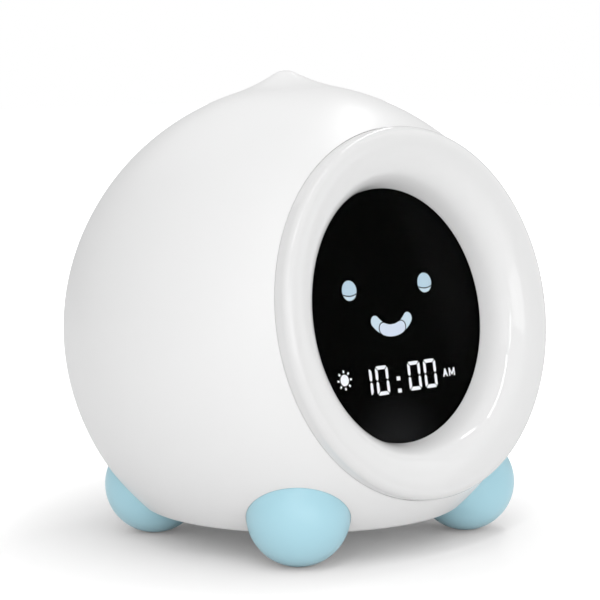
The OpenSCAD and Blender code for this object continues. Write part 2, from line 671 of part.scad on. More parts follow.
gasket_t = 0.8;
gasket_w = 2.5;
rim_t = 1.6;
basket_h = 3.1;
magnet_h = 3;
magnet_top = plate_top + gasket_t + rim_t + basket_h + magnet_h;
module speaker_gasket() color("#2b2b2b") translate([0, speaker_y, plate_top])
    tube(speaker_r, speaker_r - gasket_w, gasket_t);
module speaker_basket() color("#8d9096") translate([0, speaker_y, plate_top + gasket_t]) {
    tube(speaker_r, speaker_r - 1.6, rim_t);
    translate([0, 0, rim_t - tiny]) difference() {
        rotate_extrude() polygon([[0, 0], [speaker_r, 0], [speaker_r - 4, 3.2], [0, 3.2]]);
        translate([0, 0, -1]) cylinder(r1 = speaker_r - 0.6, r2 = speaker_r - 5.4, h = 3.2);
    }
    translate([0, 0, rim_t + basket_h]) cylinder(r = speaker_r - 5.5, h = magnet_h);
}
module speaker_cone() color("#1a1a1c") translate([0, speaker_y, plate_top + gasket_t + 0.2])
    rotate_extrude() polygon([
        [0, 0.8], [2.6, 0.2], [3.2, 0.9], [speaker_r - 3.4, 0], [speaker_r - 1.7, 0.3],
        [speaker_r - 1.7, 0.8], [speaker_r - 3.6, 0.6], [3.4, 1.5], [0, 1.5]]);

// ---------- boards inside ----------

// Chips and plugs on the main board, measured from its middle
plug_l = 12;
plug_w = 4;
plug_h = 3.5;
plug_y = main_board_size.y / 2 - plug_w;
lead_plug_h = 4;
lead_plug_x = main_board_size.x / 2 - 4;
chip_x = main_board_size.x / 2 - 8.5;
plug_top = board_z + board_t + plug_h;
lead_plug_top = board_z + board_t + lead_plug_h;

module main_board() color(board_green) translate([0, cells_y, board_z]) difference() {
    block([main_board_size.x, main_board_size.y, board_t]);
    for (post = board_posts) translate([post.x, post.y - cells_y, -1])
        cylinder(r = screw_r + pass_gap, h = board_t + 2);
}
module main_board_screws() color("silver") for (post = board_posts)
    translate([post.x, post.y, board_z + board_t]) mirror([0, 0, 1]) screw(board_t + 5);
module main_board_parts() color("#26272b") translate([0, cells_y, board_z + board_t]) {
    translate([-chip_x, -8.2, 0]) block([9, 9, 1.2]);
    translate([-chip_x, 7, 0]) block([5, 4, 1]);
    translate([chip_x, 6.5, 0]) block([5, 6, 1.6]);
    translate([chip_x, -6.5, 0]) cylinder(r = 3.1, h = 7);
    for (row = [-1, 1]) translate([0, row * plug_y, 0]) block([plug_l, plug_w, plug_h]);
    for (side = [-1, 1]) translate([side * lead_plug_x, 0, 0]) block([3.5, 6, lead_plug_h]);
}

tower_h = 30;
tower_r = 9.5;
tower_top = board_z + board_t + tower_h;
module light_tower() color("#f7f7f5") translate([0, cells_y, board_z + board_t]) difference() {
    rotate_extrude() polygon([[0, 0], [tower_r, 0], [tower_r, 1.6], [6.2, 3], [5, tower_h - 3],
        [tower_r - 0.5, tower_h], [0, tower_h]]);
    translate([0, 0, -1]) cylinder(r1 = 4.6, r2 = 3.4, h = tower_h + 2);
}
module light_board() color("white") translate([0, cells_y, tower_top]) cylinder(r = tower_r + 0.5, h = board_t);
module light_leds() color("#fff3c4") translate([0, cells_y, tower_top + board_t])
    for (i = [0:5]) rotate([0, 0, 60 * i]) translate([6.5, 0, 0]) block([3.5, 2.8, 0.9]);

// ---------- rear panel and its buttons ----------

module at_buttons() {
    children(0);
    each_angle(button_angles, button_circle_r) children(1);
}

module rear_panel() color(shell_white) at_rear() difference() {
    union() {
        translate([0, 0, rear_seat]) cylinder(r = rear_r - panel_gap, h = rear_t);
        each_angle(key_boss_angles, key_boss_circle_r) translate([0, 0, key_board_top])
            cylinder(r = 2.2, h = rear_seat - key_board_top + 0.2);
        for (i = [0:2]) rotate([0, 0, 120 * i]) translate([0, -3, rear_seat]) panel_hook();
    }
    cylinder(r = light_button_r + button_gap, h = body_r);
    each_angle(button_angles, button_circle_r) cylinder(r = button_r + button_gap, h = body_r);
    translate([0, usb_y, 0]) usb_slot(panel_gap, body_r);
    each_angle(key_boss_angles, key_boss_circle_r) translate([0, 0, key_board_top - 1])
        cylinder(r = screw_r + thread_gap, h = 7);
}

// A snap arm whose catch holds the panel behind the shell's ledge
module panel_hook() rotate([90, 0, 0]) mirror([0, 0, 1]) linear_extrude(height = 6) polygon([
    [ledge_r - 1.9, 0.2], [ledge_r - 1.9, -ledge_t - 3], [ledge_r - 0.7, -ledge_t - 3],
    [ledge_r + 0.6, -ledge_t - 0.7], [ledge_r + 0.6, -ledge_t - 0.3],
    [ledge_r - 0.4, -ledge_t - 0.3], [ledge_r - 0.4, 0.2]]);

// Stadium outline of the inlet, grown by a gap
usb_half = [4.47, 1.6];
usb_l = rear_level - 0.3 - key_board_top;
module usb_slot(gap, h) {
    block([2 * (usb_half.x - usb_half.y), 2 * (usb_half.y + gap), h]);
    for (side = [-1, 1]) translate([side * (usb_half.x - usb_half.y), 0, 0])
        cylinder(r = usb_half.y + gap, h = h);
}

module button(r, tint) color(tint) {
    crown = rear_level + button_proud;
    rotate_extrude() polygon(concat(
        [[0, flange_back], [r + flange_w, flange_back],
         [r + flange_w, flange_back + flange_h], [r, flange_back + flange_h]],
        arc([r - 0.5, crown - 0.5 - 0.15], 0.5, 0, 80),
        [[0.6 * r, crown - 0.02], [0, crown]]));
    translate([0, 0, stem_back]) cylinder(r = stem_r, h = flange_back - stem_back + tiny);
}
module small_button(i) at_rear() each_angle([button_angles[i]], button_circle_r)
    rotate([0, 0, -button_angles[i]]) button(button_r, shell_white);
module light_button() at_rear() button(light_button_r, foot_blue);
module alarm_button() small_button(0);
module volume_up_button() small_button(1);
module sound_button() small_button(2);
module volume_down_button() small_button(3);
module clock_button() small_button(4);

key_plug_y = plug_w;
module key_board() color(board_green) at_rear() translate([0, 0, key_board_top - board_t]) difference() {
    union() {
        cylinder(r = key_board_r, h = board_t);
        translate([0, -key_plug_y, -plug_h]) block([plug_l, plug_w, plug_h + tiny]);
    }
    each_angle(key_boss_angles, key_boss_circle_r) translate([0, 0, -1])
        cylinder(r = screw_r + pass_gap, h = board_t + 2);
}
module key_board_screws() color("silver") at_rear()
    each_angle(key_boss_angles, key_boss_circle_r) translate([0, 0, key_board_top - board_t]) screw(board_t + 5);
module key_switches() color("#303236") at_rear() translate([0, 0, key_board_top]) at_buttons() {
    key_switch();
    key_switch();
}
module key_switch() {
    block([6, 6, switch_h - 0.8]);
    cylinder(r = 1.7, h = switch_h);
}
// Soft sheet on the board with a stop ring round each switch
pad_t = 0.8;
stop_h = flange_back - button_travel - stop_gap - key_board_top;
stop_w = 1.2;
switch_clear_r = 4.6;
module key_pad() color("#5b5e63") at_rear() translate([0, 0, key_board_top]) difference() {
    union() {
        cylinder(r = key_board_r - 0.5, h = pad_t);
        cylinder(r = light_button_r + 0.6, h = stop_h);
        each_angle(button_angles, button_circle_r) cylinder(r = switch_clear_r + stop_w, h = stop_h);
    }
    translate([0, 0, -1]) {
        cylinder(r = switch_clear_r, h = body_r);
        each_angle(button_angles, button_circle_r) cylinder(r = switch_clear_r, h = body_r);
        each_angle(key_boss_angles, key_boss_circle_r) cylinder(r = 2.5, h = body_r);
        translate([0, usb_y, 0]) block([10.5, 5, body_r]);
    }
}

module usb_inlet() color("#b9bcc0") at_rear() translate([0, usb_y, key_board_top]) difference() {
    usb_slot(0, usb_l);
    translate([0, 0, usb_l - 6.2]) difference() {
        usb_slot(-0.35, 7);
        block([6.7, 0.7, 5.4]);
    }
}

// ---------- cables between the boards ----------

// A flat strip of width w across x, bent along points in the y-z plane
function side_point(points, i, off) =
    let (t = unit(points[min(i + 1, len(points) - 1)] - points[max(i - 1, 0)])) points[i] + off * [-t.y, t.x];
module strip(points, t, w) rotate([90, 0, 90]) translate([0, 0, -w / 2]) linear_extrude(height = w)
    polygon(concat(
        [for (i = [0:len(points) - 1]) side_point(points, i, t / 2)],
        [for (i = [len(points) - 1:-1:0]) side_point(points, i, -t / 2)]));

cable_t = 0.4;
display_cable_w = 10;
key_cable_w = 8;
module display_cable() color("#d9d9d4") strip(display_cable_route, cable_t, display_cable_w);
module key_cable() color("#d9d9d4") strip(key_cable_route, cable_t, key_cable_w);

// A point of the face's or the rear panel's middle plane, as seen from the side
function face_to_world(y, z) = [-body_front - cos(face_tilt) * z + sin(face_tilt) * y,
    body_z + sin(face_tilt) * z + cos(face_tilt) * y];
function rear_to_world(y, z) = [-body_front + cos(body_lean) * z + sin(body_lean) * y,
    body_z - sin(body_lean) * z + cos(body_lean) * y];

// Each flat cable leaves its board's plug square to it and drops into a plug on the main board
cable_turn = 14;
display_out = [cos(face_tilt), -sin(face_tilt)];
display_cable_end = face_to_world(-display_plug_y, display_board_back - plug_h);
display_cable_route = bezier(
    display_cable_end + seat_gap * display_out, display_cable_end + cable_turn * display_out,
    [cells_y - plug_y, plug_top + cable_turn], [cells_y - plug_y, plug_top + seat_gap], 14);
key_out = [-cos(body_lean), sin(body_lean)];
key_cable_end = rear_to_world(-key_plug_y, key_board_top - board_t - plug_h);
key_cable_route = bezier(key_cable_end + seat_gap * key_out, key_cable_end + cable_turn * key_out,
    [cells_y + plug_y, plug_top + 1.2 * cable_turn], [cells_y + plug_y, plug_top + seat_gap], 14);

// Pairs of round leads, one from each pole, into the small plugs on the main board
lead_r = 0.6;
lead_turn = 16;
lead_end = 1.5;
lead_gap = 0.2;
lead_colors = ["#b0282c", "#1c1c1e"];
module lead(start, end, rise) wire(concat([start],
    bezier(start + [0, 0, lead_end], start + [0, 0, rise], end + [0, 0, lead_turn], end + [0, 0, lead_end], 12),
    [end]), lead_r, [1, 1, 0]);
module lead_pair(start, start_apart, end, end_apart, rise) for (k = [0, 1]) color(lead_colors[k])
    lead(start + (k - 0.5) * start_apart, end + (k - 0.5) * end_apart, rise);

module speaker_lead() lead_pair([0, speaker_y - 2, magnet_top + lead_gap], [3, 3, 0],
    [lead_plug_x, cells_y, lead_plug_top + lead_gap], [0, 3, 0], lead_turn);
module battery_lead() lead_pair([-bay_l / 2 + contact_plate_t / 2, cells_y, contact_top + lead_gap],
    [0, cell_pitch, 0], [-lead_plug_x, cells_y, lead_plug_top + lead_gap], [0, 3, 0], lead_turn);

body_shell();
front_bezel();
display_lens();
display_mask();
eye_windows();
lid_windows();
smile_window();
smile_end_windows();
clock_windows();
unlit_windows();
display_board();
display_leds();
display_frame();
display_screws();
base_plate();
base_screws();
foot_front_left();
foot_front_right();
foot_rear_left();
foot_rear_right();
foot_screws();
battery_door();
battery_door_screws();
battery_cells();
battery_contacts();
speaker_gasket();
speaker_basket();
speaker_cone();
main_board();
main_board_parts();
main_board_screws();
light_tower();
light_board();
light_leds();
rear_panel();
key_board();
key_board_screws();
key_switches();
key_pad();
light_button();
alarm_button();
sound_button();
volume_up_button();
volume_down_button();
clock_button();
usb_inlet();
display_cable();
key_cable();
speaker_lead();
battery_lead();
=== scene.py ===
import json
import math

import bmesh
import bpy
from mathutils import Matrix, Vector


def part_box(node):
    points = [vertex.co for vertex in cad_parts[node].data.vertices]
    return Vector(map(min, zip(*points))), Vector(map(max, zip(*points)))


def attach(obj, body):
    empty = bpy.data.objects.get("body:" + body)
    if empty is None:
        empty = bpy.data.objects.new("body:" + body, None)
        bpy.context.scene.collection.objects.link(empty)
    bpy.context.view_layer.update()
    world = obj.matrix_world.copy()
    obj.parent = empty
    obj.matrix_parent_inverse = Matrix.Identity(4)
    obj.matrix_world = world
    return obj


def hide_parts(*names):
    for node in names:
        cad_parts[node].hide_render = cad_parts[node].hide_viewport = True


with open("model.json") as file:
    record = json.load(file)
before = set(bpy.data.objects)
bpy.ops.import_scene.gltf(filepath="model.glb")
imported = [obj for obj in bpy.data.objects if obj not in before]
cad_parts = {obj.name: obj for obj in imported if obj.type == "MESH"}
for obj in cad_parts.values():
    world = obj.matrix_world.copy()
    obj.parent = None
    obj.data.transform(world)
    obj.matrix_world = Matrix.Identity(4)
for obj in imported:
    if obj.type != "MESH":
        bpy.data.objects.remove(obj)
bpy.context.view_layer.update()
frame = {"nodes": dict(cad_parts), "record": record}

MM = 0.001
NODES = frame["nodes"]

# ---------- sizes of the clock, in millimetres and degrees ----------

BODY_R, BODY_WALL = 70.2, 2.2
CENTRE = Vector((0.0, -3.85, 60.6))
LEAN, FACE_TILT = 5.4, 10.15
CROWN_LATITUDE, CROWN_R = 26.0, 74.3
PEAK_HEIGHT, PEAK_R, FLARE_R = 75.9, 6.5, 50.0
BASE_Z, BASE_FILLET = 8.3, 4.0
FOOT_R, FOOT_FLAT_R, FOOT_X, FOOT_Y, FEET_FRONT = 14.6, 2.4, 34.4, 30.95, 7.6
FOOT_GAP, CUP_WALL = 0.1, 2.0
RING_R, RING_RISE, RING_EDGE_R, RING_WALL = 52.75, 5.0, 2.5, 2.2
SCREEN_R, SCREEN_DROP, LIP_H = 36.4, 13.0, 0.5
RING_OVERLAP, SEAT_DEPTH, SEAT_GAP = 1.75, 0.3, 0.1
OPENING_R = RING_R - RING_OVERLAP
REAR_R, REAR_RECESS, BUTTON_PROUD = 27.0, 1.6, 1.2
SKIN_STEP, SKIN_SEGMENTS = 1.5, 320


def turn(axis, degrees):
    return Matrix.Rotation(math.radians(degrees), 4, axis)


AT_BODY = Matrix.Translation(CENTRE) @ turn("X", -LEAN)
AT_FACE = Matrix.Translation(CENTRE) @ turn("X", 90 - FACE_TILT)
AT_REAR = Matrix.Translation(CENTRE) @ turn("X", -90 - LEAN) @ turn("Z", 180)


def polar(r, angle):
    return Vector((r * math.cos(math.radians(angle)), r * math.sin(math.radians(angle))))


def heading(v):
    return math.degrees(math.atan2(v.y, v.x))


def arc(centre, r, start, end, step):
    n = max(2, math.ceil(abs(end - start) / step))
    return [centre + polar(r, start + (end - start) * i / n) for i in range(n + 1)]


def bezier(a, b, c, d, n):
    points = []
    for i in range(n + 1):
        t, s = i / n, 1 - i / n
        points.append(s ** 3 * Vector(a) + 3 * s * s * t * Vector(b) + 3 * s * t * t * Vector(c) + t ** 3 * Vector(d))
    return points


def level(r, radius=BODY_R):
    return math.sqrt(radius * radius - r * r)


# ---------- meshes ----------

SAME_POINT = 0.002


def make(name, vertices, faces, matrix=Matrix.Identity(4), smooth_angle=None):
    mesh = bpy.data.meshes.new(name)
    mesh.from_pydata([matrix @ Vector(v) * MM for v in vertices], [], faces)
    mesh.validate()
    mesh.update()
    if smooth_angle is not None:
        smooth(mesh, smooth_angle)
    piece = bpy.data.objects.new(name, mesh)
    bpy.context.scene.collection.objects.link(piece)
    return piece


def smooth(mesh, angle):
    mesh.shade_smooth()
    mesh.set_sharp_from_angle(angle=math.radians(angle))


def rework(mesh, change):
    """Changes a mesh by a step of bmesh."""
    work = bmesh.new()
    work.from_mesh(mesh)
    change(work)
    work.to_mesh(mesh)
    work.free()


def lathe(name, outline, matrix, segments=192, smooth_angle=35, tilt=None):
    """Turns an (r, z) outline round Z. One that starts and ends on the axis is closed there, any other is a ring.

    Where tilt is given, it holds a turn for each point of the outline, about the middle of the piece.
    """
    on_axis = abs(outline[0][0]) < 1e-6 and abs(outline[-1][0]) < 1e-6
    rows = outline[1:-1] if on_axis else outline
    vertices, faces = [], []

    def place(v, which):
        vertices.append(tilt[which] @ v if tilt else v)

    for k, (r, z) in enumerate(rows):
        for i in range(segments):
            a = 2 * math.pi * i / segments
            place(Vector((r * math.cos(a), r * math.sin(a), z)), k + 1 if on_axis else k)
    pairs = [(k, k + 1) for k in range(len(rows) - 1)]
    if not on_axis:
        pairs.append((len(rows) - 1, 0))
    for a, b in pairs:
        for i in range(segments):
            j = (i + 1) % segments
            faces.append((a * segments + i, a * segments + j, b * segments + j, b * segments + i))
    if on_axis:
        for row, which in ((0, 0), (len(rows) - 1, -1)):
            place(Vector((0, 0, outline[which][1])), which)
            tip = len(vertices) - 1
            for i in range(segments):
                here, there = row * segments + i, row * segments + (i + 1) % segments
                faces.append((tip, there, here) if which == 0 else (tip, here, there))
    piece = make(name, vertices, faces, matrix)
    rework(piece.data, lambda work: bmesh.ops.recalc_face_normals(work, faces=work.faces))
    smooth(piece.data, smooth_angle)
    return piece


def prisms(name, outlines, low, high, matrix):
    """Straight solids over one or more outlines that run counter-clockwise, all in one piece."""
    vertices, faces = [], []
    for outline in outlines:
        first, n = len(vertices), len(outline)
        vertices += [(x, y, z) for z in (low, high) for x, y in outline]
        faces.append(tuple(first + i for i in reversed(range(n))))
        faces.append(tuple(first + n + i for i in range(n)))
        faces += [(first + i, first + (i + 1) % n, first + n + (i + 1) % n, first + n + i) for i in range(n)]
    return make(name, vertices, faces, matrix, 30)


def join(name, pieces):
    """Puts the meshes of several pieces into one new piece."""
    work = bmesh.new()
    for piece in pieces:
        work.from_mesh(piece.data)
        bpy.data.objects.remove(piece)
    mesh = bpy.data.meshes.new(name)
    work.to_mesh(mesh)
    work.free()
    joined = bpy.data.objects.new(name, mesh)
    bpy.context.scene.collection.objects.link(joined)
    return joined


def cut(piece, tools):
    """Takes the tools away from the piece and deletes them."""
    for tool in tools:
        step = piece.modifiers.new("cut", "BOOLEAN")
        step.operation, step.solver, step.object = "DIFFERENCE", "EXACT", tool
        bpy.context.view_layer.update()
        graph = bpy.context.evaluated_depsgraph_get()
        mesh = bpy.data.meshes.new_from_object(piece.evaluated_get(graph))
        piece.modifiers.clear()
        old, piece.data = piece.data, mesh
        bpy.data.meshes.remove(old)
    for tool in tools:
        bpy.data.objects.remove(tool)
    rework(piece.data, lambda work: bmesh.ops.remove_doubles(work, verts=work.verts, dist=SAME_POINT * MM))
    piece.data.name = piece.name


# ---------- body skin: ball, crown, hollow flare, peak, rounded underside ----------

CROWN_CENTRE = polar(BODY_R - CROWN_R, CROWN_LATITUDE)
PEAK_CENTRE = Vector((0, PEAK_HEIGHT - PEAK_R))
reach = (PEAK_CENTRE - CROWN_CENTRE).length
along = (reach ** 2 + (CROWN_R + FLARE_R) ** 2 - (PEAK_R + FLARE_R) ** 2) / (2 * reach)
aside = math.sqrt((CROWN_R + FLARE_R) ** 2 - along ** 2)
axis = (PEAK_CENTRE - CROWN_CENTRE) / reach
FLARE_CENTRE = CROWN_CENTRE + along * axis + aside * Vector((axis.y, -axis.x))
CROWN_END = heading(FLARE_CENTRE - CROWN_CENTRE)
FLARE_START, FLARE_END = heading(CROWN_CENTRE - FLARE_CENTRE), heading(PEAK_CENTRE - FLARE_CENTRE)
PEAK_START = heading(FLARE_CENTRE - PEAK_CENTRE)
FILLET_CENTRE = Vector((math.sqrt((BODY_R - BASE_FILLET) ** 2 - (CENTRE.z - BASE_Z - BASE_FILLET) ** 2),
                        BASE_Z + BASE_FILLET - CENTRE.z))
FILLET_END = heading(FILLET_CENTRE)
FLAT_Z = BASE_Z - CENTRE.z


def crown_outline(inset, step):
    """The outline above the ball, drawn in by inset: crown, hollow flare and peak."""
    flare = arc(FLARE_CENTRE, FLARE_R + inset, FLARE_START, FLARE_END, step)
    peak = arc(PEAK_CENTRE, PEAK_R - inset, PEAK_START, 90, 4 * step)
    return arc(CROWN_CENTRE, CROWN_R - inset, CROWN_LATITUDE, CROWN_END, step) + flare[1:] + peak[1:]


def outer_skin():
    """The whole outside as one clean grid. Its rings lean with the body at the top and lie level underneath."""
    low = [Vector((0, FLAT_Z)), Vector((20, FLAT_Z)), Vector((40, FLAT_Z))]
    low += arc(FILLET_CENTRE, BASE_FILLET, -90, FILLET_END, 6)
    ball = arc(Vector((0, 0)), BODY_R, FILLET_END, CROWN_LATITUDE, SKIN_STEP)[1:]
    top = crown_outline(0, SKIN_STEP)[1:]
    outline = low + ball + top
    leans = [0.0] * len(low) + [LEAN * (i + 1) / len(ball) for i in range(len(ball))] + [LEAN] * len(top)
    return lathe("body_skin", [tuple(p) for p in outline], Matrix.Translation(CENTRE), SKIN_SEGMENTS,
                 tilt=[turn("X", -lean) for lean in leans])


CROWN_PARTS = ((CROWN_CENTRE, CROWN_R, 1, CROWN_LATITUDE, CROWN_END),
               (FLARE_CENTRE, FLARE_R, -1, *sorted((FLARE_START, FLARE_END))),
               (PEAK_CENTRE, PEAK_R, 1, PEAK_START, 91))


def skin_normal(p):
    """The true outward direction at a point in millimetres on the outside, and the point's distance from it."""
    q = p - CENTRE
    choices = []
    lying = AT_BODY.inverted() @ p
    flat = Vector((math.hypot(lying.x, lying.y), lying.z))
    if heading(flat) < CROWN_LATITUDE + 0.01:
        choices.append((abs(q.length - BODY_R), q.normalized()))
    else:
        around = Vector((lying.x, lying.y, 0)).normalized() if flat.x > 1e-6 else Vector((1, 0, 0))
        for centre, radius, sign, low, high in CROWN_PARTS:
            off = flat - centre
            angle = heading(off)
            turned = angle if low - 1 <= angle <= high + 1 else angle + 360 if angle < low else angle - 360
            if low - 1 <= turned <= high + 1:
                out = sign * off.normalized()
                local = around * out.x + Vector((0, 0, out.y))
                choices.append((abs(off.length - radius), (AT_BODY.to_3x3() @ local).normalized()))
    upright = Vector((math.hypot(q.x, q.y), q.z))
    if upright.y < FILLET_CENTRE.y:
        off = upright - FILLET_CENTRE
        if off.x > 0 and heading(off) <= FILLET_END + 0.5:
            out = off.normalized()
            around = Vector((q.x, q.y, 0)).normalized()
            choices.append((abs(off.length - BASE_FILLET), around * out.x + Vector((0, 0, out.y))))
        choices.append((abs(q.z - FLAT_Z) + max(0, upright.x - FILLET_CENTRE.x), Vector((0, 0, -1))))
    return min(choices, key=lambda c: c[0]) if choices else (1e9, Vector((0, 0, 1)))


def seat_level(r):
    """The height of the rebate that the ring sits in, at a distance from the face's axis."""
    slope = (level(OPENING_R - 1) - level(RING_R)) / (RING_R - OPENING_R + 1)
    return level(RING_R) - SEAT_DEPTH + slope * (RING_R - r)


skin = outer_skin()
ball_in = arc(Vector((0, 0)), BODY_R - BODY_WALL, -90, CROWN_LATITUDE, 2 * SKIN_STEP)
inner = lathe("inner", [tuple(p) for p in ball_in + crown_outline(BODY_WALL, 2 * SKIN_STEP)[1:]], AT_BODY, 160)
edge = RING_R + SEAT_GAP
FRONT_CUT_IN, REAR_CUT_IN, CUT_OUT = 20, 30, 90
front_cut = lathe("front_cut", [(0, FRONT_CUT_IN), (OPENING_R, FRONT_CUT_IN), (OPENING_R, seat_level(OPENING_R)),
                                (edge, seat_level(edge)), (edge, CUT_OUT), (0, CUT_OUT)], AT_FACE, SKIN_SEGMENTS)
rear_cut = lathe("rear_cut", [(0, REAR_CUT_IN), (REAR_R, REAR_CUT_IN), (REAR_R, CUT_OUT), (0, CUT_OUT)], AT_REAR)
FOOT_Z = math.sqrt(FOOT_R ** 2 - FOOT_FLAT_R ** 2)
FEET = {"foot_%s_%s" % (row, side): Vector((x * FOOT_X, y * FOOT_Y - FEET_FRONT, FOOT_Z))
        for row, y in (("front", -1), ("rear", 1)) for side, x in (("left", -1), ("right", 1))}


def foot_balls(r):
    return [lathe("ball", [tuple(p) for p in arc(Vector((0, 0)), r, -90, 90, 4)], Matrix.Translation(place), 96)
            for place in FEET.values()]


# The hollow stops short of the cups that hold the feet
cut(inner, foot_balls(FOOT_R + FOOT_GAP + CUP_WALL))
cut(skin, [inner, front_cut, rear_cut] + foot_balls(FOOT_R + FOOT_GAP))

# The outside shades by its true directions, so that the cuts leave no ripple in it
ON_SKIN, SAME_WAY = 0.05, 0.9
mesh = skin.data
truth = [skin_normal(v.co / MM) for v in mesh.vertices]
normals = []
for face in mesh.polygons:
    corners = [truth[k] for k in face.vertices]
    outside = all(off < ON_SKIN and out.dot(face.normal) > SAME_WAY for off, out in corners)
    normals += [out if outside else face.normal.copy() for _, out in corners]
mesh.shade_smooth()
mesh.normals_split_custom_set(normals)

# ---------- ring round the face ----------

CROWN_LEVEL = level(RING_R) + RING_RISE
SCREEN_LEVEL = CROWN_LEVEL - SCREEN_DROP
LENS_R, LENS_T = SCREEN_R + 2, 0.8
COLLAR_R, COLLAR_WALL = OPENING_R - 0.4, 1.8
COLLAR_IN = COLLAR_R - COLLAR_WALL
COLLAR_END = level(COLLAR_R, BODY_R - BODY_WALL) - 3
POCKET_R, POCKET_WALL, POCKET_END = LENS_R + 0.2, 1.8, SCREEN_LEVEL - LENS_T - 0.8
# From the seam over the rounded rim and down the inner slope to the screen, then round the pocket and the collar
ring_outline = [(RING_R, seat_level(RING_R) + SEAT_GAP)]
ring_outline += arc(Vector((RING_R - RING_EDGE_R, CROWN_LEVEL - RING_EDGE_R)), RING_EDGE_R, 0, 90, 6)
ring_outline += bezier((RING_R - RING_EDGE_R, CROWN_LEVEL), (SCREEN_R + 3.8, CROWN_LEVEL),
                       (SCREEN_R + 1.25, SCREEN_LEVEL + LIP_H + 5.9), (SCREEN_R, SCREEN_LEVEL + LIP_H), 48)[1:]
ring_outline += [(SCREEN_R, SCREEN_LEVEL), (POCKET_R, SCREEN_LEVEL), (POCKET_R, POCKET_END),
                 (POCKET_R + POCKET_WALL, POCKET_END)]
ring_outline += bezier((POCKET_R + POCKET_WALL, SCREEN_LEVEL + 3.7), (LENS_R + 3, SCREEN_LEVEL + 7.7),
                       (LENS_R + 5.1, CROWN_LEVEL - RING_WALL), (COLLAR_IN, CROWN_LEVEL - RING_WALL), 16)
ring_outline += [(COLLAR_IN, COLLAR_END), (COLLAR_R, COLLAR_END), (COLLAR_R, seat_level(COLLAR_R) + SEAT_GAP)]
ring = lathe("face_ring", [tuple(p) for p in ring_outline], AT_FACE, SKIN_SEGMENTS, 25)

# ---------- feet ----------

FOOT_FLAT_EDGE = heading(Vector((FOOT_FLAT_R, -FOOT_Z)))
foot_outline = [(0.0, -FOOT_Z)] + [tuple(p) for p in arc(Vector((0, 0)), FOOT_R, FOOT_FLAT_EDGE, 90, 3)]
foot_outline[-1] = (0.0, FOOT_R)
feet = {name: lathe(name.replace("foot", "ball"), foot_outline, Matrix.Translation(place), 128, 20)
        for name, place in FEET.items()}

# ---------- signs on the rear buttons ----------

BUTTON_CROWN = level(REAR_R) - REAR_RECESS + BUTTON_PROUD
BUTTON_CIRCLE_R = 17.0
SIGN_SUNK, SIGN_PROUD, SIGN_LINE = 0.12, 0.05, 0.55


def circle(x, y, r, start=0, end=360):
    points = arc(Vector((x, y)), r, start, end, 12)
    return [tuple(p) for p in (points[:-1] if end - start == 360 else points)]


def stroke(x0, y0, x1, y1):
    along = Vector((x1 - x0, y1 - y0))
    side = Vector((along.y, -along.x)).normalized() * SIGN_LINE / 2
    a, b = Vector((x0, y0)), Vector((x1, y1))
    return [tuple(p) for p in (a + side, b + side, b - side, a - side)]


def band(r, width, start, end, x=0, y=0):
    return circle(x, y, r + width / 2, start, end) + circle(x, y, r - width / 2, start, end)[::-1]


# For each button: its angle on the circle, or None in the middle, and the outlines of its sign
SIGNS = {
    "light_button": (None, [circle(0, 0, 3.4, 54, 306) + circle(1.55, 0, 2.75, 82, 278)[::-1]]),
    "alarm_button": (90, [[(-2.2, -1.3), (2.2, -1.3), (1.6, -0.7)] + circle(0, 0.6, 1.6, 0, 180) + [(-1.6, -0.7)],
                          circle(0, -1.6, 0.6, 180, 360)]),
    "volume_up_button": (30, [[(-2.2, -0.35), (-0.35, -0.35), (-0.35, -2.2), (0.35, -2.2), (0.35, -0.35),
                               (2.2, -0.35), (2.2, 0.35), (0.35, 0.35), (0.35, 2.2), (-0.35, 2.2), (-0.35, 0.35),
                               (-2.2, 0.35)]]),
    "sound_button": (150, [circle(-0.75, -1.5, 0.85),
                           [(-0.2, -1.3), (0.3, -1.3), (0.3, 1.3), (1.5, 0.3), (1.5, 0.9), (0.3, 2.2), (-0.2, 2.2)]]),
    "volume_down_button": (330, [[(-2.2, -0.35), (2.2, -0.35), (2.2, 0.35), (-2.2, 0.35)]]),
    "clock_button": (210, [band(2.3, SIGN_LINE, 1, 359), stroke(0, -0.2, 0, 1.5), stroke(-0.2, 0, 1.2, -0.7)]),
}
signs = {}
for name, (angle, outlines) in SIGNS.items():
    x, y = (0, 0) if angle is None else polar(BUTTON_CIRCLE_R, angle)
    signs[name] = prisms(name.replace("button", "sign"), outlines, BUTTON_CROWN - SIGN_SUNK,
                         BUTTON_CROWN + SIGN_PROUD, AT_REAR @ Matrix.Translation((x, y, 0)))

# ---------- thin black lines between the windows of the face ----------

EYE_X, EYE_Y, EYE_D, LID_R, LID_DROP = 15.35, 8.35, 5.7, 6.5, 1.6
SMILE_R, SMILE_W, SMILE_Y, MIDDLE_SWEEP, FIELD_LINE, LINE = 8.75, 3.4, 4.55, 49.0, 0.2, 0.3
MASK_FRONT = SCREEN_LEVEL - LENS_T - SEAT_GAP
LINE_LOW, LINE_HIGH = 0.01, 0.06
lid_y = EYE_Y - LID_DROP + LID_R
lid_away = lid_y - EYE_Y
half_lid = math.degrees(math.acos((LID_R ** 2 + lid_away ** 2 - (EYE_D / 2) ** 2) / (2 * LID_R * lid_away)))
lines = [band(LID_R, LINE, 270 - half_lid, 270 + half_lid, side * EYE_X, lid_y) for side in (-1, 1)]
for side in (-1, 1):
    end = Vector((0, SMILE_Y)) + polar(SMILE_R, 270 + side * MIDDLE_SWEEP / 2)
    facing = 270 + side * (MIDDLE_SWEEP / 2 + 90)
    lines.append(band(SMILE_W / 2 + FIELD_LINE / 2, LINE, facing - 88, facing + 88, end.x, end.y))
field_lines = prisms("field_lines", lines, MASK_FRONT + LINE_LOW, MASK_FRONT + LINE_HIGH, AT_FACE)

# ---------- screws with a cross in their pan head, and the cells ----------

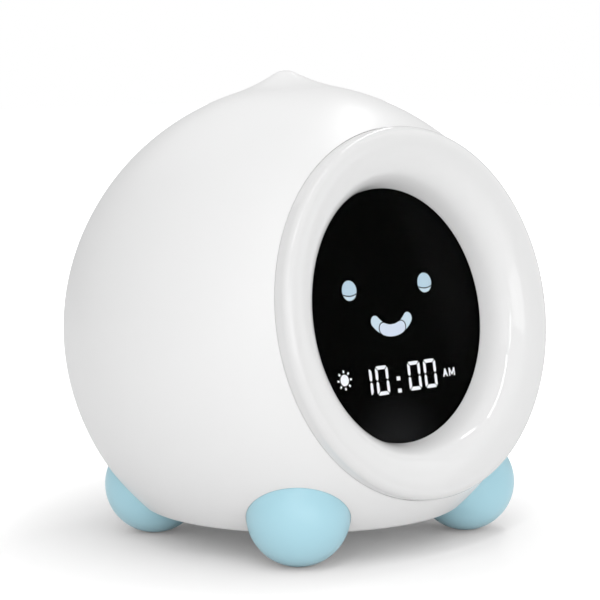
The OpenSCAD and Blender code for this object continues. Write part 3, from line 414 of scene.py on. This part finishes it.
SCREW_R, SCREW_HEAD_R = 1.25, 2.3
THREAD_DEPTH, THREAD_STEP, THREAD_START = 0.22, 0.5, 0.4
BASE_HEAD_H, BASE_SCREW_L, HEAD_RECESS = 1.6, 9, 1.7
DOOR_HEAD_H, DOOR_SCREW_L = 1.1, 6.5
SLOT = [(-1.35, -0.3), (1.35, -0.3), (1.35, 0.3), (-1.35, 0.3)]


def screws(name, places, head_h, length):
    """Screws that point up. A place is the middle of the underside of a head's rim, where it meets the shank."""
    r = SCREW_HEAD_R
    dome = [(0, -head_h), (0.55 * r, -head_h), (0.85 * r, -0.82 * head_h), (r, -0.45 * head_h), (r, 0), (SCREW_R, 0)]
    thread = []
    for i in range(int((length - 1.5) / THREAD_STEP)):
        start = THREAD_START + THREAD_STEP * i
        thread += [(SCREW_R, start), (SCREW_R - THREAD_DEPTH, start + THREAD_STEP / 2)]
    tip = [(SCREW_R, length - 1.2), (0.5 * SCREW_R, length), (0, length)]
    made = []
    for i, place in enumerate(places):
        at_place = Matrix.Translation(place)
        piece = lathe("screw", dome + thread + tip, at_place, 48)
        cut(piece, [prisms("slot", [SLOT], -head_h - 1, -0.35 * head_h, at_place @ turn("Z", 25 + 47 * i + side))
                    for side in (0, 90)])
        made.append(piece)
    return join(name, made)


def node_middle(name):
    """The middle of a node's box and half its size, in millimetres."""
    low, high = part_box(name)
    return [(a + b) / 2 / MM for a, b in zip(low, high)], [(b - a) / 2 / MM for a, b in zip(low, high)]


def head_places(node, rows, z):
    """Where the heads of a node's screws are, at the corners of its box or in one row of two."""
    middle, half = node_middle(node)
    return [(middle[0] + x * (half[0] - SCREW_HEAD_R), middle[1] + y * (half[1] - SCREW_HEAD_R), z)
            for x in (-1, 1) for y in rows]


base_screws = screws("base_cross_screws", head_places("base_screws", (-1, 1), BASE_Z + HEAD_RECESS),
                     BASE_HEAD_H, BASE_SCREW_L)
door_screws = screws("door_cross_screws", head_places("battery_door_screws", (0,), BASE_Z + DOOR_HEAD_H + 0.1),
                     DOOR_HEAD_H, DOOR_SCREW_L)

CELL_R, CELL_L = 5.25, 44.5
middle, half = node_middle("battery_cells")
jackets, caps = [], []
for side in (-1, 1):
    at_cell = (Matrix.Translation((0, middle[1] + side * (half[1] - CELL_R), middle[2]))
               @ turn("Z", 90 - side * 90) @ turn("Y", 90))
    end = CELL_L / 2 - 0.5
    jacket = [(4.2, -end + 0.02), (CELL_R - 0.25, -end), (CELL_R, -end + 0.3), (CELL_R, end - 0.35),
              (CELL_R - 0.3, end), (3.6, end), (3.6, end - 0.5), (4.2, end - 0.6)]
    cap = [(0, -end + 0.15), (2.6, -end + 0.1), (4.3, -end + 0.35), (4.3, end - 0.55), (2.1, end - 0.3),
           (1.9, end - 0.1), (1.9, end + 0.6), (1.6, end + 0.8), (0, end + 0.8)]
    jackets.append(lathe("jacket", jacket, at_cell, 96, 40))
    caps.append(lathe("cap", cap, at_cell, 96, 25))
cell_jackets, cell_caps = join("cell_jackets", jackets), join("cell_caps", caps)


# ---------- materials ----------

def fill(node, sockets):
    """Sets the inputs of a node, by name or number, to values or to the outputs of other nodes."""
    for key, value in sockets.items():
        if isinstance(value, bpy.types.NodeSocket):
            node.id_data.links.new(value, node.inputs[key])
        else:
            node.inputs[key].default_value = value


def add(tree, kind, sockets, **settings):
    """A new shader node with its settings and inputs."""
    node = tree.nodes.new("ShaderNode" + kind)
    for key, value in settings.items():
        setattr(node, key, value)
    fill(node, sockets)
    return node


def new_material(name):
    material = bpy.data.materials.new(name)
    material.use_nodes = True
    tree = material.node_tree
    return material, tree, tree.nodes["Principled BSDF"]


def object_place(tree):
    return tree.nodes.new("ShaderNodeTexCoord").outputs["Object"]


def noise(tree, place, scale, detail=2.0):
    return add(tree, "TexNoise", {"Scale": scale, "Detail": detail, "Vector": place}).outputs["Fac"]


def mix(tree, factor, a, b):
    """A colour between two, by a factor."""
    return add(tree, "Mix", {"A": a, "B": b, "Factor": factor}, data_type="RGBA").outputs["Result"]


def to_range(tree, value, low, high):
    return add(tree, "MapRange", {"To Min": low, "To Max": high, "Value": value}).outputs["Result"]


def scaled(color, factor):
    return tuple(min(1, c * factor) for c in color) + (1,)


def plastic(name, color, rough, grain=0.0, grain_size=0.4, mottle=0.02, coat=0.0, rough_spread=0.04, specular=0.5):
    """Moulded plastic: a faint tone drift, a slight change of gloss, and a fine moulding grain."""
    material, tree, shader = new_material(name)
    place = object_place(tree)
    drift = noise(tree, place, DRIFT_SCALE, 3.0)
    fill(shader, {"Base Color": mix(tree, drift, scaled(color, 1 - mottle), scaled(color, 1 + mottle)),
                  "Roughness": to_range(tree, drift, rough - rough_spread, rough + rough_spread),
                  "Specular IOR Level": specular})
    if grain:
        fine = noise(tree, place, 1 / (grain_size * MM))
        bump = add(tree, "Bump", {"Strength": grain, "Distance": GRAIN_DEPTH * MM, "Height": fine})
        fill(shader, {"Normal": bump.outputs["Normal"]})
    if coat:
        fill(shader, {"Coat Weight": coat, "Coat Roughness": 0.03})
    return material


def plain_bounce(material, grey):
    """Makes the soft light that a coloured piece throws on its surroundings grey, so the pale floor stays neutral."""
    tree = material.node_tree
    socket = tree.nodes["Principled BSDF"].inputs["Base Color"]
    bounced = tree.nodes.new("ShaderNodeLightPath").outputs["Is Diffuse Ray"]
    tree.links.new(mix(tree, bounced, socket.links[0].from_socket, (grey, grey, grey, 1)), socket)


def paint_light_near(material, middle, near, far, gain):
    """Painted light: makes the plastic's colour lighter by a gain up to one distance from a point, and less so up to
    another.
    """
    tree = material.node_tree
    socket = tree.nodes["Principled BSDF"].inputs["Base Color"]
    away = add(tree, "VectorMath", {0: object_place(tree), 1: middle}, operation="DISTANCE")
    factor = add(tree, "MapRange", {"From Min": near, "From Max": far, "To Min": gain, "To Max": 1.0,
                                    "Value": away.outputs["Value"]}, interpolation_type="SMOOTHSTEP")
    lighter = add(tree, "VectorMath", {0: socket.links[0].from_socket, "Scale": factor.outputs["Result"]},
                  operation="SCALE")
    tree.links.new(lighter.outputs[0], socket)


def metal(name, color, rough):
    """Drawn or pressed metal with fine streaks along Y."""
    material, tree, shader = new_material(name)
    streaks = add(tree, "Mapping", {"Scale": (1, 8, 1), "Vector": object_place(tree)}).outputs["Vector"]
    grain = noise(tree, streaks, STREAK_SCALE)
    fill(shader, {"Base Color": mix(tree, grain, scaled(color, 0.9), scaled(color, 1)),
                  "Roughness": to_range(tree, grain, rough - 0.08, rough + 0.08), "Metallic": 1.0})
    return material


def lit(name, color):
    """A lit window with a fine speckle of its diffuser."""
    material, tree, shader = new_material(name)
    speckle = noise(tree, object_place(tree), SPECKLE_SCALE)
    fill(shader, {"Emission Color": mix(tree, speckle, scaled(color, 0.94), scaled(color, 1)),
                  "Base Color": (0.02, 0.02, 0.02, 1), "Emission Strength": 1.0})
    return material


def front_window():
    """The clear front window, nearly without a reflection of its own."""
    material, tree, shader = new_material("smoked_lens")
    wave = noise(tree, object_place(tree), WAVE_SCALE)
    fill(shader, {"Roughness": to_range(tree, wave, 0.0, 0.03), "Base Color": (0.93, 0.94, 0.96, 1),
                  "Transmission Weight": 1.0, "IOR": 1.06})
    return material


DRIFT_SCALE, STREAK_SCALE, SPECKLE_SCALE, WAVE_SCALE = 38.0, 900.0, 1500.0, 60.0
GRAIN_DEPTH = 0.02
MATERIALS = {
    "shell": plastic("shell_plastic", (0.84, 0.84, 0.84), 0.36, grain=0.06, grain_size=0.5, mottle=0.008),
    "ring": plastic("ring_plastic", (0.77, 0.77, 0.77), 0.05, grain=0.02, grain_size=4.0, mottle=0.006,
                    rough_spread=0.01),
    "screen": front_window(),
    "mask": plastic("mask_black", (0.0012, 0.0012, 0.0012), 0.8, grain=0.1, mottle=0.1, specular=0.0),
    "lit_blue": lit("glow_blue", (0.49, 0.655, 0.755)),
    "lit_pale": lit("glow_pale", (0.61, 0.75, 0.83)),
    "lit_soft": lit("glow_soft", (0.68, 0.76, 0.88)),
    "lit_white": lit("glow_white", (0.97, 0.98, 1.0)),
    "unlit": plastic("unlit_window", (0.0018, 0.0018, 0.0018), 0.8, mottle=0.1, specular=0.02),
    "board": plastic("board_green", (0.03, 0.16, 0.07), 0.4, grain=0.3, grain_size=1.2, mottle=0.25),
    "white_board": plastic("board_white", (0.8, 0.8, 0.78), 0.4, mottle=0.03),
    "led": plastic("led_yellow", (0.9, 0.78, 0.35), 0.3, mottle=0.08),
    "black_plastic": plastic("black_plastic", (0.02, 0.02, 0.022), 0.45, grain=0.3, mottle=0.15),
    "white_plastic": plastic("white_plastic", (0.85, 0.85, 0.84), 0.4, grain=0.1, mottle=0.02),
    "steel": metal("screw_steel", (0.62, 0.62, 0.63), 0.3),
    "foot": plastic("foot_plastic", (0.425, 0.705, 0.805), 0.34, grain=0.04, grain_size=0.6, mottle=0.012),
    "cell": plastic("cell_jacket", (0.04, 0.07, 0.16), 0.25, mottle=0.05, coat=0.5),
    "spring_metal": metal("spring_nickel", (0.66, 0.64, 0.6), 0.22),
    "basket": metal("basket_metal", (0.32, 0.33, 0.35), 0.45),
    "cone": plastic("cone_film", (0.015, 0.015, 0.017), 0.6, grain=0.5, mottle=0.2),
    "foam": plastic("foam", (0.03, 0.03, 0.03), 0.9, grain=1.0, grain_size=0.3, mottle=0.3),
    "silicone": plastic("silicone", (0.09, 0.1, 0.11), 0.55, grain=0.2, mottle=0.1),
    "cable": plastic("cable_film", (0.7, 0.7, 0.67), 0.4, grain=0.2, mottle=0.04),
    "lead": plastic("lead_red", (0.35, 0.02, 0.02), 0.4, grain=0.2, mottle=0.08),
}

# Painted light: the ring's inner slope is painted a little lighter than its rim, to lift the shade that falls in the
# dished face
paint_light_near(MATERIALS["ring"], AT_FACE @ Vector((0, 0, SCREEN_LEVEL)) * MM, 38 * MM, 48 * MM, 1.17)
# A faint painted reflection on the black mask at the lower edge of the screen, standing in for the lens's own
# reflection
paint_light_near(MATERIALS["mask"], AT_FACE @ Vector((-3, -SCREEN_R - 2, MASK_FRONT)) * MM, 1 * MM, 20 * MM, 14.0)
plain_bounce(MATERIALS["foot"], 0.6)


def paint(piece, material):
    if not piece.data.materials:
        piece.data.materials.append(material)
    for place in piece.material_slots:
        place.material = material


SLOTS = {entry["node"]: entry["material_slot"] for entry in frame["record"]["subparts"]}
for name, node in NODES.items():
    paint(node, MATERIALS[SLOTS[name]])


def dress(piece, slot, *nodes, body="body"):
    paint(piece, MATERIALS[slot])
    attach(piece, body)
    if nodes:
        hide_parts(*nodes)


dress(skin, "shell", "body_shell")
dress(field_lines, "mask")
dress(ring, "ring", "front_bezel")
dress(base_screws, "steel", "base_screws")
dress(door_screws, "steel", "battery_door_screws", body="battery_cover")
dress(cell_jackets, "cell", "battery_cells")
dress(cell_caps, "steel", "battery_cells")
for name, piece in signs.items():
    dress(piece, "silicone", body=name + "_cap")
for name, piece in feet.items():
    dress(piece, "foot", name)

# ---------- camera, floor, light ----------

bpy.context.scene.view_settings.view_transform = "Standard"


def direction(azimuth, height):
    """From the clock towards a place round it. Azimuth 0 is in front of the face, and 90 is to its right."""
    a, e = math.radians(azimuth), math.radians(height)
    return Vector((math.sin(a) * math.cos(e), -math.cos(a) * math.cos(e), math.sin(e)))


TARGET = Vector((0.0, -7.4, 68.78)) * MM
DISTANCE = 678.67 * MM
back = direction(-43.99, 6.705)
lens = bpy.data.cameras.new("camera")
lens.lens, lens.sensor_width, lens.sensor_fit = 138.0, 36.0, "HORIZONTAL"
lens.shift_x, lens.shift_y = -0.01604, 0.0005
lens.clip_start, lens.clip_end = 0.01, 50
camera = bpy.data.objects.new("camera", lens)
camera.location = TARGET + back * DISTANCE
camera.rotation_euler = back.to_track_quat("Z", "Y").to_euler()
bpy.context.scene.collection.objects.link(camera)
bpy.context.scene.camera = camera

# The floor near the clock takes its shadow. Further out it is as white as the backdrop behind it.
FLOOR_HALF = 3000
FLOOR_LIFT, FLOOR_WHITE_FROM, FLOOR_WHITE_TO = 0.08, 0.04, 0.25
floor = make("floor", [(x * FLOOR_HALF, y * FLOOR_HALF, 0) for x, y in ((-1, -1), (1, -1), (1, 1), (-1, 1))],
             [(0, 1, 2, 3)])
material, tree, shader = new_material("floor_white")
away = add(tree, "VectorMath", {0: tree.nodes.new("ShaderNodeNewGeometry").outputs["Position"]}, operation="LENGTH")
lift = add(tree, "MapRange", {"From Min": FLOOR_WHITE_FROM, "From Max": FLOOR_WHITE_TO, "To Min": FLOOR_LIFT,
                              "To Max": 1.0, "Value": away.outputs["Value"]}, interpolation_type="SMOOTHSTEP")
seen = add(tree, "Math", {0: tree.nodes.new("ShaderNodeLightPath").outputs["Is Camera Ray"],
                          1: lift.outputs["Result"]}, operation="MULTIPLY")
fill(shader, {"Base Color": (0.9, 0.9, 0.9, 1), "Roughness": 0.9, "Specular IOR Level": 0.0,
              "Emission Color": (1, 1, 1, 1), "Emission Strength": seen.outputs[0]})
paint(floor, material)

# The world is white where the camera sees it, and dimmer as a light and in reflections
WORLD_DIFFUSE, WORLD_GLOSSY = 0.635, 0.53
world = bpy.data.worlds.new("studio")
bpy.context.scene.world = world
world.use_nodes = True
tree = world.node_tree
rays = tree.nodes.new("ShaderNodeLightPath").outputs
mirrored = add(tree, "Math", {0: rays["Is Glossy Ray"], 1: rays["Is Transmission Ray"]}, operation="MAXIMUM")
strength = to_range(tree, mirrored.outputs[0], WORLD_DIFFUSE, WORLD_GLOSSY)
strength = to_range(tree, rays["Is Camera Ray"], strength, 1.0)
fill(tree.nodes["Background"], {"Color": (1, 1, 1, 1), "Strength": strength})

MIDDLE = Vector((0, 0, 0.07))
LAMP_SIZE = 0.9
STRIP_REACH, STRIP_WIDTH = 1.3, 0.08


def lamp(name, size, width, watts, matrix):
    light = bpy.data.lights.new(name, "AREA")
    light.shape, light.size, light.size_y, light.energy = "RECTANGLE", size, width, watts
    holder = bpy.data.objects.new(name, light)
    holder.matrix_world = matrix
    bpy.context.scene.collection.objects.link(holder)


def strip(name, start, end, radiance):
    """A long thin lamp. The azimuth and height of its two ends are as seen from the clock's middle."""
    start, end = (MIDDLE + STRIP_REACH * direction(*place) for place in (start, end))
    middle, run = (start + end) / 2, end - start
    along = run.normalized()
    up = (middle - MIDDLE).cross(along).normalized()
    axes = Matrix((along, up, along.cross(up))).transposed().to_4x4()
    lamp(name, run.length, STRIP_WIDTH, radiance * math.pi * run.length * STRIP_WIDTH,
         Matrix.Translation(middle) @ axes)


# Four wide soft lamps light the clock
for name, place, watts in (("left", Vector((-1.2, -0.6, 0.45)), 1.7), ("right", Vector((1.2, -0.6, 0.6)), 1.5),
                           ("front", Vector((-0.5, -1.2, 0.12)), 4.4), ("rear", Vector((0.2, 0.9, 1.0)), 1.3)):
    facing = (place - MIDDLE).to_track_quat("Z", "Y").to_matrix().to_4x4()
    lamp(name, LAMP_SIZE, LAMP_SIZE, watts, Matrix.Translation(place) @ facing)

# Three thin ones give the streaks that run along the glossy ring
strip("strip_high", (-54, 40), (11, 70), 9.0)
strip("strip_top", (60, 76), (118, 42), 9.0)
strip("strip_left", (-50, 14), (-50, 36), 4.5)
